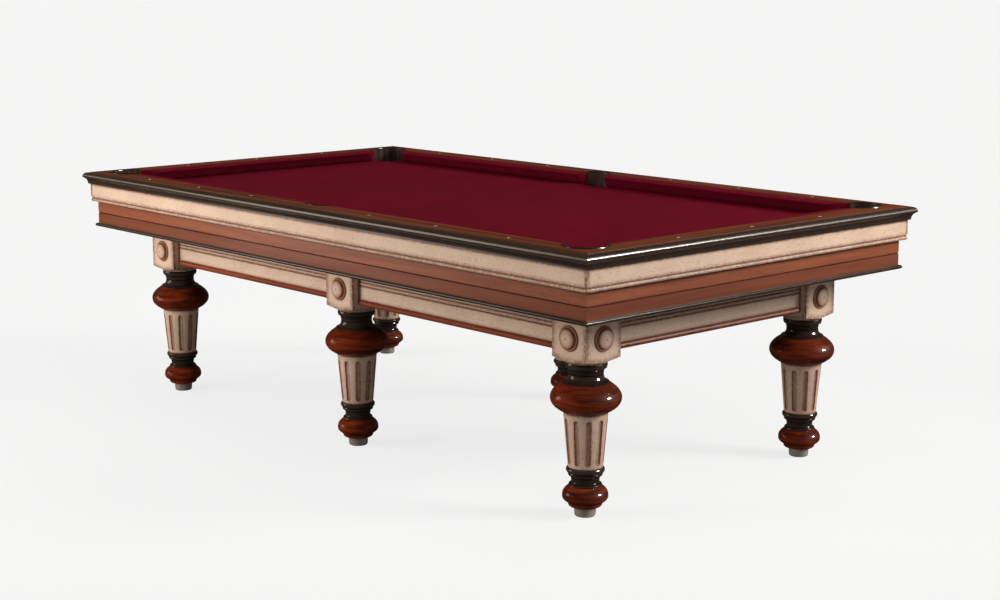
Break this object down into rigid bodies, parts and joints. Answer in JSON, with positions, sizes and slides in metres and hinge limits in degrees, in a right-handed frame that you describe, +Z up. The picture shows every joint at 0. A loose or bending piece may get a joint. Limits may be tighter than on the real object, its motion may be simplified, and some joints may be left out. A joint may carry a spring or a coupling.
{
  "type": "billiard table",
  "caption": "Pocket billiard table with a slate bed under red cloth, cushioned rails, panelled cabinet and turned, fluted legs on levelling feet.",
  "frame": {"origin": "on the floor under the middle of the table", "axes": "+X along the length, +Z up, -Y towards the front long side"},
  "size_m": [2.635, 1.4666, 0.8188],
  "materials": {
    "cream_paint": "satin paint, rubbed at the edges",
    "mahogany": "satin lacquer",
    "dark_mahogany": "gloss lacquer",
    "red_brown_lacquer": "gloss lacquer",
    "black_lacquer": "gloss lacquer",
    "red_cloth": "napped woollen cloth",
    "slate": "honed",
    "liner_plastic": "matte",
    "rim_gloss": "gloss",
    "ivory_inlay": "polished",
    "pine": "planed",
    "zinc_steel": "zinc plated",
    "foot_metal": "grey satin"
  },
  "bodies": {
    "table": {"leg_block_front_left": "cream_paint", "leg_column_front_left": "cream_paint", "leg_collars_front_left": "black_lacquer", "leg_bulbs_front_left": "red_brown_lacquer", "leg_block_front_middle": "cream_paint", "leg_column_front_middle": "cream_paint", "leg_collars_front_middle": "black_lacquer", "leg_bulbs_front_middle": "red_brown_lacquer", "leg_block_front_right": "cream_paint", "leg_column_front_right": "cream_paint", "leg_collars_front_right": "black_lacquer", "leg_bulbs_front_right": "red_brown_lacquer", "leg_block_back_left": "cream_paint", "leg_column_back_left": "cream_paint", "leg_collars_back_left": "black_lacquer", "leg_bulbs_back_left": "red_brown_lacquer", "leg_block_back_middle": "cream_paint", "leg_column_back_middle": "cream_paint", "leg_collars_back_middle": "black_lacquer", "leg_bulbs_back_middle": "red_brown_lacquer", "leg_block_back_right": "cream_paint", "leg_column_back_right": "cream_paint", "leg_collars_back_right": "black_lacquer", "leg_bulbs_back_right": "red_brown_lacquer", "rail_front": "mahogany", "fascia_front": "cream_paint", "rail_back": "mahogany", "fascia_back": "cream_paint", "rail_left": "mahogany", "fascia_left": "cream_paint", "rail_right": "mahogany", "fascia_right": "cream_paint", "cushion_front_left": "red_cloth", "cushion_front_right": "red_cloth", "cushion_back_left": "red_cloth", "cushion_back_right": "red_cloth", "cushion_left": "red_cloth", "cushion_right": "red_cloth", "cabinet_sides": "mahogany", "cabinet_ends": "mahogany", "top_mouldings": "black_lacquer", "base_boards": "black_lacquer", "long_aprons": "cream_paint", "end_aprons": "cream_paint", "apron_beads": "dark_mahogany", "slate_bed": "slate", "bed_cloth": "red_cloth", "pocket_liners": "liner_plastic", "pocket_rims": "rim_gloss", "rosettes": "cream_paint", "sights": "ivory_inlay", "cross_beams": "pine", "frame_bolts": "zinc_steel", "foot_bushes": "zinc_steel"},
    "foot_front_left": {"levelling_foot_front_left": "foot_metal"},
    "foot_front_middle": {"levelling_foot_front_middle": "foot_metal"},
    "foot_front_right": {"levelling_foot_front_right": "foot_metal"},
    "foot_back_left": {"levelling_foot_back_left": "foot_metal"},
    "foot_back_middle": {"levelling_foot_back_middle": "foot_metal"},
    "foot_back_right": {"levelling_foot_back_right": "foot_metal"}
  },
  "joints": [
    {"name": "foot_travel_front_left", "type": "slide", "parent": "table", "child": "foot_front_left", "axis": [0, 0, -1], "range_m": [0, 0.02]},
    {"name": "foot_travel_front_middle", "type": "slide", "parent": "table", "child": "foot_front_middle", "axis": [0, 0, -1], "range_m": [0, 0.02]},
    {"name": "foot_travel_front_right", "type": "slide", "parent": "table", "child": "foot_front_right", "axis": [0, 0, -1], "range_m": [0, 0.02]},
    {"name": "foot_travel_back_left", "type": "slide", "parent": "table", "child": "foot_back_left", "axis": [0, 0, -1], "range_m": [0, 0.02]},
    {"name": "foot_travel_back_middle", "type": "slide", "parent": "table", "child": "foot_back_middle", "axis": [0, 0, -1], "range_m": [0, 0.02]},
    {"name": "foot_travel_back_right", "type": "slide", "parent": "table", "child": "foot_back_right", "axis": [0, 0, -1], "range_m": [0, 0.02]}
  ]
}
